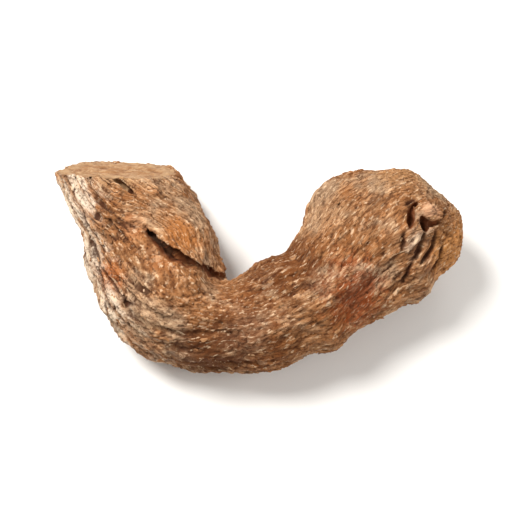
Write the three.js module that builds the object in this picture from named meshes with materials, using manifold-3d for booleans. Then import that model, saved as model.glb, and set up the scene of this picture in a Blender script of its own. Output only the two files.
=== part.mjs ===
// A dried root of elephant creeper, one gnarled piece: a broad limb chopped across at its end, a
// sharp bend, and a second limb that swells into a blunt knob. Millimetres, +Z up.
// It lies on its side on a table. Z = 0 is the table, X runs from the chopped end to the knob, and
// both limbs point towards +Y, so the bend is nearest to a viewer who looks along +Y.

import * as THREE from "three";
import { mergeVertices } from "three/addons/utils/BufferGeometryUtils.js";
import Module from "manifold-3d";

const wasm = await Module();
wasm.setup();

// Driving dimensions of the swept body

// The inner edge runs from the chopped end down to the notch of the bend and up to the knob, and the
// outer edge runs round the elbow. Each point is [x, y], and points with the same place in their
// lists are the two sides of one section.
const INNER_EDGE = [
  [-15.1, 16.6],
  [-10.5, 12.0],
  [-7.0, 6.9],
  [-6.0, 1.6],
  [-5.0, -1.7],
  [-4.2, -3.1],
  [-2.9, -2.7],
  [-1.0, -1.6],
  [2.0, -0.2],
  [5.0, 1.2],
  [6.7, 5.0],
  [8.2, 9.7],
  [12.0, 14.4],
];
const OUTER_EDGE = [
  [-34.9, 17.6],
  [-33.8, 11.4],
  [-31.1, 4.0],
  [-29.1, -3.4],
  [-25.9, -10.4],
  [-20.2, -15.7],
  [-13.0, -17.8],
  [-4.6, -19.0],
  [4.2, -17.8],
  [12.7, -14.8],
  [19.7, -11.2],
  [26.0, -6.8],
  [31.0, -2.0],
];
// Seven even stations along the root: how far the body swells above its middle plane, how far below
// it, and how square the section is, where 2 is an ellipse.
const SWELL = [
  [8.0, 7.6, 3.0],
  [8.8, 8.6, 2.9],
  [9.0, 7.8, 2.4],
  [8.8, 8.7, 2.2],
  [8.6, 7.9, 2.1],
  [9.6, 8.6, 2.1],
  [11.0, 10.3, 2.1],
];
// How far the underside clears the table at the same stations. Where it is below zero, the body is
// worn flat and stands on the table: near the chopped end, under the elbow and under the knob.
const CLEARANCE = [1.4, -0.5, 1.0, -0.6, 1.3, 1.0, -0.6];
const KNOB_TIP = [32.3, 11.2, 11.0];
const KNOB_BLUNTNESS = 1.95; // 2 is a round dome
// The chop is two strokes that meet across its middle, and the lower one leans back further.
const CHOP_LEAN = { above: THREE.MathUtils.degToRad(30), below: THREE.MathUtils.degToRad(39) };
const CHOP_REACH = 0.3; // share of the root over which the sections turn upright again

// Driving dimensions of the bark

// Grooves between rounded ribs run along the root. Every third one is deep. Their spacing is uneven
// by a share of the round, and each comes and goes along the root. All turn round it as it bends:
// inwards as far as the elbow, and outwards again from there to the knob.
const GROOVE_COUNT = 24;
const DEEP_EVERY = 3;
const DEEP_GROOVE = 1.25;
const FINE_GROOVE = 0.6;
const GROOVE_NARROWNESS = 1.5;
const UNEVENNESS = [
  { lobes: 2, turn: 0.16, phase: 0.5 },
  { lobes: 5, turn: 0.07, phase: 2.0 },
];
const TWIST = { turn: 0.9, length: 190 };
// The grooves run out on the knob, between these shares of its full thickness.
const GROOVE_END = [0.7, 0.98];
// The underside is worn smooth up to this height, so each foot is one flat spot.
const WORN_HEIGHT = [0.3, 3.5];
// Broad swellings of the body: wavelengths in mm along x, y and z, with a height in mm.
const LUMPS = [
  { wave: [23, 31, 19], height: 0.5, phase: 0.3 },
  { wave: [13, 11, 15], height: 0.3, phase: 1.7 },
  { wave: [7.5, 8.5, 6.5], height: 0.11, phase: 4.1 },
];

// Driving dimensions of the cracks, each a thin lens between two points of the skin. It is cut to
// depth on a slant: lean is the angle that the cut dives under its own left side.
const CREVICE = {
  from: [-20.2, 2.8, 17.6],
  to: [-2.2, -3.3, 11.2],
  width: 1.7,
  bow: -1.2,
  depth: 6.5,
  lean: 30,
};
const SLIT = {
  from: [-24.8, 12.6, 16.9],
  to: [-20.9, 9.7, 17.2],
  width: 1.2,
  bow: 0.1,
  depth: 2.6,
  lean: 10,
};
const TORN_GROOVES = [
  { from: [27.4, 2.1, 20.1], to: [23.6, -3.6, 17.9], width: 1.0, bow: 0.4, depth: 1.4, lean: -10 },
  { from: [29.5, 1.6, 18.6], to: [26.0, -4.4, 16.8], width: 0.9, bow: 0.3, depth: 1.2, lean: -10 },
];
// A torn hollow near the tip of the knob, open to two sides.
const HOLLOWS = [
  { centre: [25.2, 3.6, 21.4], radii: [2.5, 0.7, 2.8], turn: 92 },
  { centre: [27.9, 2.7, 20.9], radii: [2.5, 1.3, 2.7], turn: 12 },
];

const COLUMNS_PER_GROOVE = 4;
const COLUMNS = GROOVE_COUNT * COLUMNS_PER_GROOVE;
const BODY_RINGS = 40;
const KNOB_RINGS = 10;
const TABLE_BLOCK = { side: 200, depth: 20 };

// The swept body

const curveThrough = (points) =>
  new THREE.CatmullRomCurve3(points, false, "catmullrom", 0.5);
const innerEdge = curveThrough(INNER_EDGE.map(([x, y]) => new THREE.Vector3(x, y, 0)));
const outerEdge = curveThrough(OUTER_EDGE.map(([x, y]) => new THREE.Vector3(x, y, 0)));
const swell = curveThrough(SWELL.map((values) => new THREE.Vector3(...values)));
const clearance = curveThrough(CLEARANCE.map((gap) => new THREE.Vector3(gap, 0, 0)));
const knobTip = new THREE.Vector3(...KNOB_TIP);

// The section at t, from 0 at the chop to 1 where the knob starts to close: its middle, the half
// width from inner to outer edge, and the direction along the root.
function sectionAt(t) {
  const inner = innerEdge.getPoint(t);
  const outer = outerEdge.getPoint(t);
  const shape = swell.getPoint(t);
  const middle = inner.clone().add(outer).multiplyScalar(0.5);
  middle.z = clearance.getPoint(t).x + shape.y;
  const half = outer.clone().sub(inner).multiplyScalar(0.5);
  const along = new THREE.Vector3(-half.y, half.x, 0).normalize();
  const share = 1 - THREE.MathUtils.smoothstep(t, 0, CHOP_REACH);
  const leant = (lean) => new THREE.Vector3(0, 0, 1).addScaledVector(along, Math.tan(lean * share));
  const rise = { above: leant(CHOP_LEAN.above), below: leant(CHOP_LEAN.below) };
  return { middle, half, rise, above: shape.x, below: shape.y, square: shape.z, full: 1 };
}

// The knob closes its last section towards its tip, as a blunt dome. turn is 0 at that section and
// a quarter turn at the tip. full is the share of the full thickness that is left.
function knobSection(turn) {
  const section = sectionAt(1);
  const reach = Math.pow(Math.sin(turn), 2 / KNOB_BLUNTNESS);
  section.full = Math.pow(Math.cos(turn), 2 / KNOB_BLUNTNESS);
  section.ahead = knobTip.clone().sub(section.middle).setLength(Math.tan(turn));
  section.middle.lerp(knobTip, reach);
  section.half.multiplyScalar(section.full);
  section.above *= section.full;
  section.below *= section.full;
  return section;
}

// Where a column of the skin stands round the section, s mm along the root. turn is the column's
// even share of the round, as an angle.
function angleOf(turn, s) {
  const uneven = UNEVENNESS.reduce((sum, u) => sum + u.turn * Math.sin(u.lobes * turn + u.phase), 0);
  return turn + uneven + TWIST.turn * Math.sin((2 * Math.PI * s) / TWIST.length);
}

// Depth of the grooves at a column, s mm along the root.
function grooveDepth(turn, s) {
  const place = (turn / (2 * Math.PI)) * GROOVE_COUNT;
  const groove = Math.round(place) % GROOVE_COUNT;
  const deepest = groove % DEEP_EVERY === 0 ? DEEP_GROOVE : FINE_GROOVE;
  const comes = 0.6 + 0.4 * Math.sin(s / (4 + (groove % 5)) + 2.4 * groove);
  const profile = Math.pow(1 - Math.abs(Math.sin(Math.PI * place)), GROOVE_NARROWNESS);
  return deepest * comes * profile;
}

function lumpHeight(p) {
  return LUMPS.reduce((sum, lump) => {
    const [x, y, z] = [p.x, p.y, p.z].map((v, i) => (2 * Math.PI * v) / lump.wave[i] + lump.phase);
    return sum + lump.height * (Math.sin(x + 0.7 * Math.sin(y)) + Math.sin(y + z) * Math.cos(x - z));
  }, 0);
}

// One point of the skin: the section's outline, then the bark's relief pushed in or out from it.
function skinPoint(section, s, turn) {
  const angle = angleOf(turn, s);
  const power = 2 / section.square;
  const across = Math.sign(Math.cos(angle)) * Math.pow(Math.abs(Math.cos(angle)), power);
  const over = Math.sign(Math.sin(angle)) * Math.pow(Math.abs(Math.sin(angle)), power);
  const side = over > 0 ? "above" : "below";
  const point = section.middle
    .clone()
    .addScaledVector(section.half, across)
    .addScaledVector(section.rise[side], over * section[side]);
  const outward = section.half
    .clone()
    .setLength(Math.cos(angle))
    .addScaledVector(section.rise[side], Math.sin(angle))
    .add(section.ahead ?? new THREE.Vector3())
    .normalize();
  const grooved = THREE.MathUtils.smoothstep(section.full, ...GROOVE_END);
  const rough = THREE.MathUtils.smoothstep(point.z, ...WORN_HEIGHT);
  const relief = lumpHeight(point) - grooveDepth(turn, s) * grooved;
  return point.addScaledVector(outward, relief * rough);
}

function skinRings() {
  const rings = [];
  const middles = [];
  let s = 0;
  const addRing = (section) => {
    if (middles.length) s += section.middle.distanceTo(middles.at(-1));
    middles.push(section.middle);
    rings.push(
      Array.from({ length: COLUMNS }, (_, i) => skinPoint(section, s, (2 * Math.PI * i) / COLUMNS)),
    );
  };
  for (let i = 0; i <= BODY_RINGS; i++) addRing(sectionAt(i / BODY_RINGS));
  for (let i = 1; i < KNOB_RINGS; i++) addRing(knobSection(((i / KNOB_RINGS) * Math.PI) / 2));
  const ahead = knobTip.clone().sub(middles[BODY_RINGS]).normalize();
  return { rings, start: middles[0], tip: ahead.multiplyScalar(lumpHeight(knobTip)).add(knobTip) };
}

// Rings of points and two end points as one closed geometry.
function closedSkin({ rings, start, tip }) {
  const points = [start, ...rings.flat(), tip];
  const at = (ring, i) => 1 + ring * COLUMNS + (i % COLUMNS);
  const index = [];
  for (let i = 0; i < COLUMNS; i++) {
    index.push(0, at(0, i), at(0, i + 1));
    index.push(points.length - 1, at(rings.length - 1, i + 1), at(rings.length - 1, i));
    for (let r = 0; r + 1 < rings.length; r++) {
      index.push(at(r, i), at(r + 1, i), at(r, i + 1));
      index.push(at(r + 1, i), at(r + 1, i + 1), at(r, i + 1));
    }
  }
  const geometry = new THREE.BufferGeometry().setFromPoints(points);
  geometry.setIndex(index);
  return geometry;
}

// The cracks

// A blade with pointed ends, whose lens lies on the line between its two points and is bowed to one
// side. It stands as far out of the skin as it cuts in.
function crackBlade({ from, to, width, bow, depth, lean }) {
  const start = new THREE.Vector3(...from);
  const line = new THREE.Vector3(...to).sub(start);
  const length = line.length();
  const lens = new THREE.Shape();
  lens.moveTo(0, 0);
  lens.quadraticCurveTo(length / 2, 2 * bow - width, length, 0);
  lens.quadraticCurveTo(length / 2, 2 * bow + width, 0, 0);
  const blade = new THREE.ExtrudeGeometry(lens, {
    depth: 2 * depth,
    bevelEnabled: false,
    curveSegments: 10,
  });
  blade.translate(0, 0, -depth);
  blade.rotateX(THREE.MathUtils.degToRad(lean));
  const ahead = line.normalize();
  const left = new THREE.Vector3(0, 0, 1).cross(ahead).normalize();
  const out = ahead.clone().cross(left);
  blade.applyMatrix4(new THREE.Matrix4().makeBasis(ahead, left, out));
  return blade.translate(start.x, start.y, start.z);
}

function pebble({ centre, radii, turn }) {
  const shape = new THREE.IcosahedronGeometry(1, 2);
  shape.scale(...radii);
  shape.rotateZ(THREE.MathUtils.degToRad(turn));
  return shape.translate(...centre);
}

// Booleans

function solidOf(geometry) {
  const bare = new THREE.BufferGeometry();
  bare.setAttribute("position", geometry.getAttribute("position"));
  bare.setIndex(geometry.getIndex());
  const merged = mergeVertices(bare, 1e-4);
  return new wasm.Manifold(
    new wasm.Mesh({
      numProp: 3,
      vertProperties: new Float32Array(merged.attributes.position.array),
      triVerts: new Uint32Array(merged.index.array),
    }),
  );
}

function geometryOf(solid) {
  const mesh = solid.getMesh();
  const geometry = new THREE.BufferGeometry();
  geometry.setAttribute("position", new THREE.BufferAttribute(mesh.vertProperties, 3));
  geometry.setIndex(new THREE.BufferAttribute(mesh.triVerts, 1));
  geometry.computeVertexNormals();
  return geometry;
}

function rootGeometry() {
  const table = new THREE.BoxGeometry(TABLE_BLOCK.side, TABLE_BLOCK.side, TABLE_BLOCK.depth);
  table.translate(0, 0, -TABLE_BLOCK.depth / 2);
  const cracks = [CREVICE, SLIT, ...TORN_GROOVES].map(crackBlade);
  const body = solidOf(closedSkin(skinRings()));
  const cut = [...HOLLOWS.map(pebble), ...cracks, table].reduce(
    (root, shape) => root.subtract(solidOf(shape)),
    body,
  );
  return geometryOf(cut);
}

// Puts the middle of the root's box over the origin.
function centred(geometry) {
  geometry.computeBoundingBox();
  const middle = geometry.boundingBox.getCenter(new THREE.Vector3());
  return geometry.translate(-middle.x, -middle.y, 0);
}

const bark = new THREE.MeshStandardMaterial({ color: 0x94633f, roughness: 0.9, metalness: 0 });
const driedRoot = new THREE.Mesh(centred(rootGeometry()), bark);
driedRoot.name = "dried_root";

const part = new THREE.Group();
part.add(driedRoot);

export default part;
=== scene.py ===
# %% [markdown]
# # A dried root of elephant creeper
#
# Elephant creeper is a woody vine. Its root is dug up, chopped and dried as an aromatic herb. This
# piece is one grown thing: a limb chopped across its end, a sharp bend with a crevice in its crook,
# and a second limb that swells into a knob.
#
# It could be sculpted by hand, but its form follows a rule, one section swept along a bent line. So
# a formula makes the body, and the rest is added in the order in which it came about: growth, then
# cracks, then bark, then what was torn. All forms are worked out in millimetres, because that is how
# such a thing is measured, and are turned to metres at the end.

# %% The frame
import math
from functools import partial

import bpy
import numpy as np
from mathutils import Matrix, Vector
from mathutils.bvhtree import BVHTree


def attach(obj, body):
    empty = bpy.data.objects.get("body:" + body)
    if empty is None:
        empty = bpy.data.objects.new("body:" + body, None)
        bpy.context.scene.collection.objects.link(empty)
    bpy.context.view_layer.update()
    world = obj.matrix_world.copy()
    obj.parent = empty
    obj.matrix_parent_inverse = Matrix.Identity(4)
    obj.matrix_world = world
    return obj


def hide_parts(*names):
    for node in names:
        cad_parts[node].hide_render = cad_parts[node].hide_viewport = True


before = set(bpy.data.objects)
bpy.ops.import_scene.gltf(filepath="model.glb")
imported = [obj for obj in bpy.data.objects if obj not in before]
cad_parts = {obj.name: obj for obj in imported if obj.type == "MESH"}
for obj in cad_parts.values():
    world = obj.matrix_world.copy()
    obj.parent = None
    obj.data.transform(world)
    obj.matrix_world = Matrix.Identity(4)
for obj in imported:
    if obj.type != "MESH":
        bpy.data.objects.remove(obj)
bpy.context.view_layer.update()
MM = 0.001  # metres in a millimetre
ROOT_NODE = "dried_root"

# %% [markdown]
# ## The camera
#
# The root lies on its side, and the camera looks down on the face that it shows. A long lens from
# further away keeps the near and the far limb in their true proportion, as in a product photograph.
# The distance is worked out from how much of the table the picture takes in.

# %% The camera
CAMERA_ELEVATION = math.radians(68)
LENS = 85.0
SENSOR = 36.0
PICTURE_WIDTH = 88.0
LOOK_AT = Vector((0.0, -0.5, 8.5)) * MM

camera = bpy.data.objects.new("camera", bpy.data.cameras.new("camera"))
bpy.context.scene.collection.objects.link(camera)
bpy.context.scene.camera = camera
camera.data.lens = LENS
camera.data.sensor_width = SENSOR
camera_back = Vector((0, -math.cos(CAMERA_ELEVATION), math.sin(CAMERA_ELEVATION)))
camera.location = LOOK_AT + camera_back * (PICTURE_WIDTH * LENS / SENSOR) * MM
camera.rotation_mode = "QUATERNION"
camera.rotation_quaternion = camera_back.to_track_quat("Z", "Y")
print("camera is", round((camera.location - LOOK_AT).length / MM), "mm away")

# %% [markdown]
# ## The driving dimensions
#
# Two edges hold the outline: the inner edge runs from the chopped end down to the notch and up to
# the knob, and the outer edge runs round the elbow. Points with the same place in the two lists are
# the two sides of one section. These are the values of the imported solid, so the fine root lies on it.

# %% The driving dimensions of the body, in mm
INNER_EDGE = [
    [-15.1, 16.6],
    [-10.5, 12.0],
    [-7.0, 6.9],
    [-6.0, 1.6],
    [-5.0, -1.7],
    [-4.2, -3.1],
    [-2.9, -2.7],
    [-1.0, -1.6],
    [2.0, -0.2],
    [5.0, 1.2],
    [6.7, 5.0],
    [8.2, 9.7],
    [12.0, 14.4],
]
OUTER_EDGE = [
    [-34.9, 17.6],
    [-33.8, 11.4],
    [-31.1, 4.0],
    [-29.1, -3.4],
    [-25.9, -10.4],
    [-20.2, -15.7],
    [-13.0, -17.8],
    [-4.6, -19.0],
    [4.2, -17.8],
    [12.7, -14.8],
    [19.7, -11.2],
    [26.0, -6.8],
    [31.0, -2.0],
]
# At seven even stations: swell above and below the middle plane, and squareness (2 is an ellipse).
SWELL = [
    [8.0, 7.6, 3.0],
    [8.8, 8.6, 2.9],
    [9.0, 7.8, 2.4],
    [8.8, 8.7, 2.2],
    [8.6, 7.9, 2.1],
    [9.6, 8.6, 2.1],
    [11.0, 10.3, 2.1],
]
CLEARANCE = [[1.4], [-0.5], [1.0], [-0.6], [1.3], [1.0], [-0.6]]
KNOB_TIP = np.array([32.3, 11.2, 11.0])
KNOB_BLUNTNESS = 1.95
CHOP_LEAN = (math.radians(30), math.radians(39))  # of the upper and the lower stroke
CHOP_REACH = 0.3

# %% The driving dimensions of the relief, in mm
GROOVE_COUNT = 24
DEEP_EVERY = 3
DEEP_GROOVE = 1.25
FINE_GROOVE = 0.6
GROOVE_NARROWNESS = 1.5
GROOVE_PACE = (4.0, 5)  # mm a radian for the groove that changes quickest, and how many paces
UNEVENNESS = [(2, 0.16, 0.5), (5, 0.07, 2.0)]  # lobes round the root, turn, phase
TWIST_TURN = 0.9
TWIST_LENGTH = 190.0
GROOVE_END = (0.7, 0.98)
WORN_HEIGHT = (0.3, 3.5)
LUMPS = [  # wavelengths along x, y and z, height, phase
    ([23, 31, 19], 0.5, 0.3),
    ([13, 11, 15], 0.3, 1.7),
    ([7.5, 8.5, 6.5], 0.11, 4.1),
]

# %% [markdown]
# ## The swept body
#
# A curve object with a bevel can't follow two edges, and a lattice would be guesswork. Here each
# section is an ellipse, a little squared, between a point of the inner edge and its partner on the
# outer one. The columns turn slowly round the root, because the grain of a bent root does. Grooves
# and broad lumps then push each point in or out.

# %% Curves and smooth steps
def smooth(x, low, high):
    """0 below low, 1 above high, and an even rise between them."""
    w = np.clip((x - low) / (high - low), 0, 1)
    return w * w * (3 - 2 * w)


def curve_through(points, t):
    """Places t, from 0 to 1, on the even Catmull-Rom curve through the points."""
    points = np.array(points, float)
    padded = np.vstack([2 * points[0] - points[1], points, 2 * points[-1] - points[-2]])
    place = t * (len(points) - 1)
    i = np.minimum(place.astype(int), len(points) - 2)
    w = (place - i)[:, None]
    before, start, end, after = (padded[i + k] for k in range(4))
    leave, arrive = (end - before) / 2, (after - start) / 2
    cubic = 2 * start - 2 * end + leave + arrive
    square = -3 * start + 3 * end - 2 * leave - arrive
    return ((cubic * w + square) * w + leave) * w + start


# %% Sections from the chopped end to the knob
BODY_RINGS = 300
KNOB_RINGS = 70
COLUMNS = 432
UP = np.array([0.0, 0.0, 1.0])


def unit(vectors):
    """The vectors at length 1."""
    return vectors / np.linalg.norm(vectors, axis=-1, keepdims=True)


def body_sections():
    """The sections up to where the knob starts to close, as one array for each quantity."""
    t = np.linspace(0, 1, BODY_RINGS)
    flat = np.zeros((BODY_RINGS, 1))
    inner = np.hstack([curve_through(INNER_EDGE, t), flat])
    outer = np.hstack([curve_through(OUTER_EDGE, t), flat])
    above, below, square = curve_through(SWELL, t).T
    middle = (inner + outer) / 2
    middle[:, 2] = curve_through(CLEARANCE, t)[:, 0] + below
    half = (outer - inner) / 2
    along = unit(np.stack([-half[:, 1], half[:, 0], flat[:, 0]], 1))
    share = 1 - smooth(t, 0, CHOP_REACH)
    rise = [UP + along * np.tan(lean * share)[:, None] for lean in CHOP_LEAN]
    return {
        "middle": middle,
        "half": half,
        "rise above": rise[0],
        "rise below": rise[1],
        "ahead": np.zeros_like(middle),
        "above": above,
        "below": below,
        "square": square,
        "full": np.ones(BODY_RINGS),
    }


def knob_sections(last):
    """The sections that close the knob, as a blunt dome from the body's last section to the tip."""
    turn = np.linspace(0, math.pi / 2, KNOB_RINGS + 1)[1:-1]
    reach = (np.sin(turn) ** (2 / KNOB_BLUNTNESS))[:, None]
    full = np.cos(turn) ** (2 / KNOB_BLUNTNESS)
    return {
        "middle": last["middle"] * (1 - reach) + KNOB_TIP * reach,
        "half": last["half"] * full[:, None],
        "rise above": np.repeat(last["rise above"][None], len(turn), 0),
        "rise below": np.repeat(last["rise below"][None], len(turn), 0),
        "ahead": unit(KNOB_TIP - last["middle"]) * np.tan(turn)[:, None],
        "above": last["above"] * full,
        "below": last["below"] * full,
        "square": np.full(len(turn), last["square"]),
        "full": full,
    }


body = body_sections()
knob = knob_sections({name: values[-1] for name, values in body.items()})
sections = {name: np.concatenate([body[name], knob[name]]) for name in body}
steps = np.linalg.norm(np.diff(sections["middle"], axis=0), axis=1)
along_root = np.concatenate([[0], np.cumsum(steps)])
print("the root is", round(float(along_root[-1])), "mm long along its middle")

# %% [markdown]
# ## Grooves and lumps
#
# Ribs run the length of the root, and each groove between them comes and goes. A texture could fake
# them, but they show in the outline of the chopped end, so they are in the shape.

# %% The relief of the skin
def groove_depth(turn, s):
    """Depth of the long grooves at a column's share of the round, s mm along the root."""
    place = turn / (2 * math.pi) * GROOVE_COUNT
    groove = np.round(place) % GROOVE_COUNT
    deepest = np.where(groove % DEEP_EVERY == 0, DEEP_GROOVE, FINE_GROOVE)
    quickest, paces = GROOVE_PACE
    comes = 0.6 + 0.4 * np.sin(s / (quickest + groove % paces) + 2.4 * groove)
    return deepest * comes * (1 - np.abs(np.sin(math.pi * place))) ** GROOVE_NARROWNESS


def lump_height(points):
    """Height of the broad lumps at points in space."""
    total = 0
    for wave, height, phase in LUMPS:
        x, y, z = np.moveaxis(2 * math.pi * points / np.array(wave) + phase, -1, 0)
        total = total + height * (np.sin(x + 0.7 * np.sin(y)) + np.sin(y + z) * np.cos(x - z))
    return total


def skin_points():
    """All points of the skin, ring by column, and the share of the round of each column."""
    turn = np.linspace(0, 2 * math.pi, COLUMNS, endpoint=False)[None, :]
    s = along_root[:, None]
    uneven = sum(size * np.sin(lobes * turn + phase) for lobes, size, phase in UNEVENNESS)
    angle = turn + uneven + TWIST_TURN * np.sin(2 * math.pi * s / TWIST_LENGTH)
    power = 2 / sections["square"][:, None]
    across = np.sign(np.cos(angle)) * np.abs(np.cos(angle)) ** power
    over = np.sign(np.sin(angle)) * np.abs(np.sin(angle)) ** power
    swell = np.where(over > 0, sections["above"][:, None], sections["below"][:, None])
    middle, half, ahead = (sections[k][:, None] for k in ("middle", "half", "ahead"))
    rises = (sections[k][:, None] for k in ("rise above", "rise below"))
    up = np.where((over > 0)[..., None], *rises)
    points = middle + half * across[..., None] + up * (over * swell)[..., None]
    outward = unit(half) * np.cos(angle)[..., None] + up * np.sin(angle)[..., None] + ahead
    grooved = smooth(sections["full"][:, None], *GROOVE_END)
    relief = lump_height(points) - groove_depth(turn, s) * grooved
    relief = relief * smooth(points[..., 2], *WORN_HEIGHT)
    return points + unit(outward) * relief[..., None], turn[0]


skin, turns = skin_points()
knob_ahead = unit(KNOB_TIP - body["middle"][-1])
tip = KNOB_TIP + knob_ahead * lump_height(KNOB_TIP)

# %% [markdown]
# ## The crook
#
# The limb folds over itself at the bend. Its upper lobe has a raised lip along the crevice, and the
# bark below it is pressed in. Both fade out at the ends of the crevice.

# %% A raised lip on the lobe above the crevice
CREVICE = {"start": [-19.8, 4.1, 17.2], "end": [-3.0, -3.5, 12.6]}
LIP_HEIGHT = 0.55
LIP_WIDTH = 1.5
SINK_DEPTH = 0.5
SINK_WIDTH = 1.9
LIP_OFFSET = 1.1
LIP_STARTS = (-0.15, 0.15)  # share of the way along the crevice
LIP_ENDS = (0.9, 1.1)
LIP_REACH = (3.0, 6.0)  # mm in and out of the skin
CREVICE_BOW = -2.8

crevice_start = np.array(CREVICE["start"])
crevice_line = np.array(CREVICE["end"]) - crevice_start
crevice_ahead = unit(crevice_line)
crevice_left = unit(np.cross(UP, crevice_ahead))
crevice_out = np.cross(crevice_ahead, crevice_left)
from_start = skin - crevice_start
share = from_start @ crevice_ahead / np.linalg.norm(crevice_line)
side = from_start @ crevice_left - CREVICE_BOW * 4 * share * (1 - share)
near = smooth(share, *LIP_STARTS) * (1 - smooth(share, *LIP_ENDS))
near = near * (1 - smooth(np.abs(from_start @ crevice_out), *LIP_REACH))
lip = LIP_HEIGHT * np.exp(-(((side - LIP_OFFSET) / LIP_WIDTH) ** 2))
sink = SINK_DEPTH * np.exp(-(((side + LIP_OFFSET) / SINK_WIDTH) ** 2))
skin = skin + crevice_out * (near * (lip - sink))[..., None]

# %% [markdown]
# ## The skin as a mesh, with its grain
#
# Each point keeps two things that later steps read: where it stands in the grain, and which way the
# grain runs. The grain's place is the length along its column, with the column's place on a circle
# for the other two numbers, so that no seam shows where the round closes. The circle shrinks as the
# knob closes, or the grain would be squeezed to a star at the tip. On the bend the grain drifts
# towards the outer side, as on the real one, where the fibres of the limb run on past the corner.

# %% The skin mesh
GRAIN_RADIUS = 10.0  # mm: a typical radius of the root, so that the grain's scale is true
GRAIN_DRIFT = 0.6  # radians round the root
DRIFT_SPAN = (14.0, 48.0)  # mm along the root


def new_object(name, points, faces, edges=()):
    """A mesh object in the scene, from points in mm."""
    mesh = bpy.data.meshes.new(name)
    mesh.from_pydata(np.asarray(points, float).tolist(), edges, [list(face) for face in faces])
    made = bpy.data.objects.new(name, mesh)
    bpy.context.scene.collection.objects.link(made)
    return made


def tube_faces(rings, columns):
    """Faces of a tube of rings, whose points follow one start point and come before one end point."""
    at = 1 + np.arange(rings * columns).reshape(rings, columns)
    beside = np.roll(at, -1, 1)
    sides = np.stack([at[:-1], at[1:], beside[1:], beside[:-1]], -1).reshape(-1, 4).tolist()
    start = [[0, a, b] for a, b in zip(at[0].tolist(), beside[0].tolist())]
    last = rings * columns + 1
    end = [[last, b, a] for a, b in zip(at[-1].tolist(), beside[-1].tolist())]
    return sides + start + end


def set_vectors(mesh, name, values):
    """Stores a vector on each point of a mesh."""
    attribute = mesh.attributes.new(name, "FLOAT_VECTOR", "POINT")
    attribute.data.foreach_set("vector", np.asarray(values, np.float32).ravel())


ring_count = len(skin)
column_steps = np.linalg.norm(np.diff(skin, axis=0), axis=2)
column_length = np.vstack([np.zeros(COLUMNS), np.cumsum(column_steps, 0)])
drifted = turns[None, :] + GRAIN_DRIFT * smooth(along_root, *DRIFT_SPAN)[:, None]
circles = GRAIN_RADIUS * np.stack([np.cos(drifted), np.sin(drifted)], 2)
circles = circles * sections["full"][:, None, None]
grain = np.concatenate([column_length[..., None], circles], 2)
drift = np.gradient(GRAIN_DRIFT * smooth(along_root, *DRIFT_SPAN)) / (turns[1] - turns[0])
round_way = (np.roll(skin, -1, 1) - np.roll(skin, 1, 1)) / 2
grain_way = unit(np.gradient(skin, axis=0) - drift[:, None, None] * round_way + 1e-9)
chop_middle = sections["middle"][0]

skin_object = new_object(
    "skin",
    np.vstack([chop_middle, skin.reshape(-1, 3), tip]),
    tube_faces(ring_count, COLUMNS),
)
grain_tip = [float(column_length[-1].mean()), 0, 0]
set_vectors(skin_object.data, "grain", np.vstack([[0, 0, 0], grain.reshape(-1, 3), grain_tip]))
set_vectors(skin_object.data, "grain_way", np.vstack([[0, 1, 0], grain_way.reshape(-1, 3), knob_ahead]))
print("skin:", len(skin_object.data.vertices), "points")

# %% [markdown]
# ## Cracks and the torn hollow
#
# A root cracks where it dries. Painting dark lines would be quicker, but real cracks catch shadow as
# the light moves, so they are cut. Each wide crack is a blade with pointed ends and ragged sides. A
# narrow split would be lost when the surface is rebuilt in cells, so it is only a line for now, and
# the relief sinks the bark along it later. The torn hollow is cut with pebble shapes. The table is
# cut away too, which leaves the worn flat spots that the root lies on.

# %% Blades for the cracks
RAGGED_SEED = 7
BLADE_STEP = 0.35
WANDER_STEP = 2.2
TOOTH_STEP = 0.6
TOOTH_SIZE = 0.3
TOOTH_LIMITS = (0.7, 1.6)
ABOVE_ALL = 40.0  # a height that the root doesn't reach
CRACKS = [
    # start, end, width, bow, depth, lean in degrees, fullness, wander
    (CREVICE["start"][:2], CREVICE["end"][:2], 1.9, CREVICE_BOW, 2.6, 30, 0.7, 0.2),
    ([-24.9, 12.6], [-20.8, 9.3], 1.1, 0.15, 2.6, 10, 0.45, 0.04),
]
SPLITS = [
    # start, end, bow, wander, and how far above the skin the line is, so how shallow the split
    ([27.8, 2.1], [24.6, -3.8], 0.4, 0.16, 0.15),
    ([29.5, 1.8], [26.4, -4.1], 0.3, 0.14, 0.15),
    ([31.0, 0.8], [28.9, -3.8], 0.2, 0.1, 0.25),
    ([24.1, 1.6], [23.5, -2.6], -0.2, 0.1, 0.2),
    ([25.8, -2.4], [23.2, -6.6], 0.2, 0.12, 0.3),
    ([23.8, 5.0], [25.9, 6.8], 0.1, 0.06, 0.2),
    ([-23.2, 11.2], [-20.4, 9.0], 0.1, 0.04, 0.25),
    ([30.0, 3.6], [31.6, 6.6], -0.2, 0.06, 0.2),
    ([-1.6, -2.9], [3.4, -1.6], 0.2, 0.1, 0.3),
    ([-30.4, 8.0], [-25.8, -3.0], -0.3, 0.12, 0.35),
    ([-28.4, 11.0], [-24.2, 2.4], 0.2, 0.12, 0.38),
    ([-26.8, -2.4], [-19.8, -11.4], -0.3, 0.12, 0.35),
    ([-29.0, 3.6], [-26.2, -5.0], 0.3, 0.12, 0.35),
    ([-24.4, 6.2], [-20.8, 1.2], 0.2, 0.12, 0.4),
    ([-17.4, -6.0], [-12.2, -9.6], 0.2, 0.1, 0.4),
    ([-22.0, -4.6], [-16.8, -9.4], -0.2, 0.12, 0.4),
]
ragged = np.random.default_rng(RAGGED_SEED)
skin_tree = BVHTree.FromPolygons(
    [v.co for v in skin_object.data.vertices],
    [list(face.vertices) for face in skin_object.data.polygons],
)


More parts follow.
